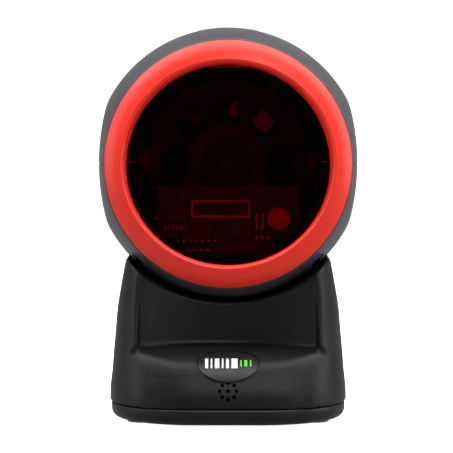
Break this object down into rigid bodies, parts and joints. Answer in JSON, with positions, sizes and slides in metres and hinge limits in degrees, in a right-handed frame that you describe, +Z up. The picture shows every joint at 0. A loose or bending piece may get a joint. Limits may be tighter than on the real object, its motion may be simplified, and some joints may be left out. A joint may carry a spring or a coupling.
{
  "type": "omnidirectional counter barcode scanner",
  "caption": "Hands-free counter barcode scanner: ball-shaped scan head with a round red-rimmed window, tilting in a weighted desk stand.",
  "frame": {"origin": "centre of the footprint on the surface that the stand's feet rest on", "axes": "+Z up, -Y out of the scan window towards the customer, +X to the right as seen from the front"},
  "size_m": [0.0966, 0.092, 0.1456],
  "materials": {
    "stand_plastic": "satin grained black ABS",
    "steel_plate": "zinc plated sheet steel",
    "foot_rubber": "soft black rubber",
    "badge_black": "gloss black inlay",
    "badge_print": "white and green printed stripes",
    "component_black": "moulded black component bodies",
    "circuit_board": "green solder resist",
    "socket_plastic": "black nylon",
    "gold_contacts": "gold plated wire",
    "header_plastic": "ivory nylon",
    "screw_steel": "zinc plated steel",
    "cable_jacket": "black PVC jacket",
    "ball_plastic": "satin dark grey ABS",
    "bezel_red": "semi gloss red ABS",
    "window_glass": "dark red tinted filter",
    "gasket_rubber": "black foam rubber",
    "lens_clear": "frosted light guide",
    "led_epoxy": "clear epoxy",
    "chassis_plastic": "glass filled black polymer",
    "mirror_glass": "front surface mirror",
    "laser_block": "die cast",
    "laser_brass": "turned brass",
    "lens_glass": "coated glass",
    "capacitor_can": "drawn cans and chip parts",
    "trimmer_metal": "knurled trimmer",
    "motor_steel": "drawn steel",
    "stator_copper": "wound copper",
    "hub_aluminium": "turned aluminium",
    "washer_nylon": "natural nylon"
  },
  "bodies": {
    "stand": {"stand_shell": "stand_plastic", "base_cover": "stand_plastic", "ballast_plate": "steel_plate", "rubber_feet": "foot_rubber", "badge_plate": "badge_black", "badge_bars": "badge_print", "buzzer": "component_black", "interface_board": "circuit_board", "interface_chips": "component_black", "cable_socket": "socket_plastic", "socket_contacts": "gold_contacts", "base_connector": "header_plastic", "base_screws": "screw_steel", "yoke_bracket": "steel_plate", "yoke_screws": "screw_steel", "head_cable": "cable_jacket"},
    "head": {"board_chips": "component_black", "photodiode": "component_black", "indicator_board": "circuit_board", "photodiode_board": "circuit_board", "main_board": "circuit_board", "board_connector": "header_plastic", "shell_screws": "screw_steel", "chassis_screws": "screw_steel", "pivot_pins": "screw_steel", "head_upper_shell": "ball_plastic", "head_lower_shell": "ball_plastic", "bezel_ring": "bezel_red", "scan_window": "window_glass", "window_gasket": "gasket_rubber", "indicator_lens": "lens_clear", "indicator_leds": "led_epoxy", "optical_chassis": "chassis_plastic", "mirror_brackets": "chassis_plastic", "mirror_top": "mirror_glass", "mirror_upper_left": "mirror_glass", "mirror_upper_right": "mirror_glass", "mirror_left": "mirror_glass", "mirror_right": "mirror_glass", "collector_mirror": "mirror_glass", "fold_mirror": "mirror_glass", "laser_holder": "laser_block", "laser_barrel": "laser_brass", "motor_bearings": "laser_brass", "laser_lens": "lens_glass", "board_capacitors": "capacitor_can", "trim_potentiometer": "trimmer_metal", "motor_can": "motor_steel", "motor_stator": "stator_copper", "pivot_washers": "washer_nylon"},
    "rotor": {"polygon_mirror": "mirror_glass", "rotor_hub": "hub_aluminium", "rotor_magnet": "motor_steel", "motor_shaft": "motor_steel"}
  },
  "joints": [
    {"name": "head_tilt", "type": "hinge", "parent": "stand", "child": "head", "pos_m": [0, -0.0045, 0.0945], "axis": [-1, 0, 0], "range_deg": [-15, 25], "deforming": ["head_cable"]},
    {"name": "polygon_spin", "type": "hinge", "parent": "head", "child": "rotor", "pos_m": [0, -0.0045, 0.0945], "axis": [0, -1, 0], "continuous": true}
  ]
}
